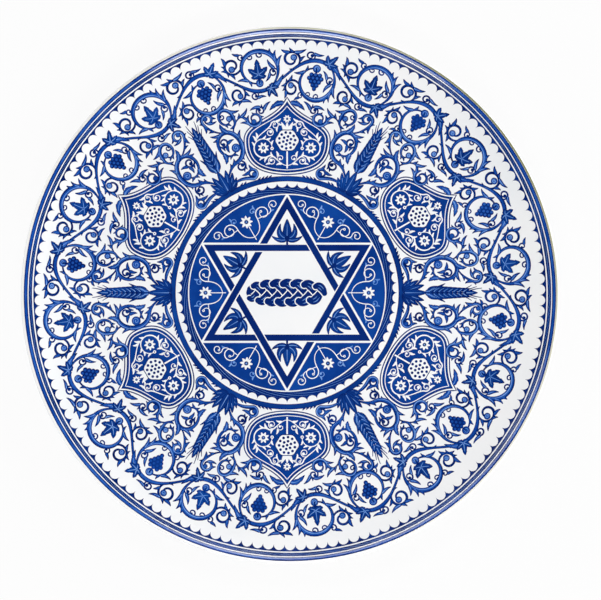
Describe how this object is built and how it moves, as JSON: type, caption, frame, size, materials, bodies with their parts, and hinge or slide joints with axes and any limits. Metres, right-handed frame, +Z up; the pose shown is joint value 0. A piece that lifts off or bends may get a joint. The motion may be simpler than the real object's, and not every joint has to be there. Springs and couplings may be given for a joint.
{
  "type": "challah tray",
  "caption": "Round footed tray of glazed porcelain that holds a braided loaf, with blue underglaze scrolls, panels and a woven star.",
  "frame": {"origin": "middle of the foot ring's base", "axes": "+Z up out of the dish; +Y towards the star's upper point as the picture shows it, +X to its right"},
  "size_m": [0.32, 0.32, 0.02],
  "materials": {
    "porcelain": "glossy clear glaze over white porcelain, bare on the foot ring's base",
    "navy_ink": "glossy, dark cobalt under the glaze",
    "blue_ink": "glossy, cobalt under the glaze, uneven in depth",
    "ground_ink": "glossy, mid-blue printed ground under the glaze"
  },
  "bodies": {
    "root": {"tray_body": "porcelain", "rim_band": "blue_ink", "rope_band": "blue_ink", "scallop_border": "blue_ink", "medallion_band": "blue_ink", "medallion_rope_band": "navy_ink", "ground_panel_1": "ground_ink", "star_bar_1": "navy_ink", "star_bud_1": "blue_ink", "ground_panel_2": "ground_ink", "star_bar_2": "navy_ink", "star_bud_2": "blue_ink", "ground_panel_3": "ground_ink", "star_bar_3": "navy_ink", "star_bud_3": "blue_ink", "ground_panel_4": "ground_ink", "star_bar_4": "navy_ink", "star_bud_4": "blue_ink", "ground_panel_5": "ground_ink", "star_bar_5": "navy_ink", "star_bud_5": "blue_ink", "ground_panel_6": "ground_ink", "star_bar_6": "navy_ink", "star_bud_6": "blue_ink", "loaf_motif": "navy_ink", "ogee_panel_1": "blue_ink", "scroll_spray_1": "blue_ink", "ogee_panel_2": "blue_ink", "scroll_spray_2": "blue_ink", "ogee_panel_3": "blue_ink", "scroll_spray_3": "blue_ink", "ogee_panel_4": "blue_ink", "scroll_spray_4": "blue_ink", "ogee_panel_5": "blue_ink", "scroll_spray_5": "blue_ink", "ogee_panel_6": "blue_ink", "scroll_spray_6": "blue_ink", "vine_wave_1": "blue_ink", "vine_wave_2": "blue_ink", "vine_wave_3": "blue_ink", "vine_wave_4": "blue_ink", "vine_wave_5": "blue_ink", "vine_wave_6": "blue_ink", "vine_wave_7": "blue_ink", "vine_wave_8": "blue_ink", "vine_wave_9": "blue_ink", "vine_wave_10": "blue_ink", "vine_wave_11": "blue_ink", "vine_wave_12": "blue_ink"}
  },
  "joints": []
}
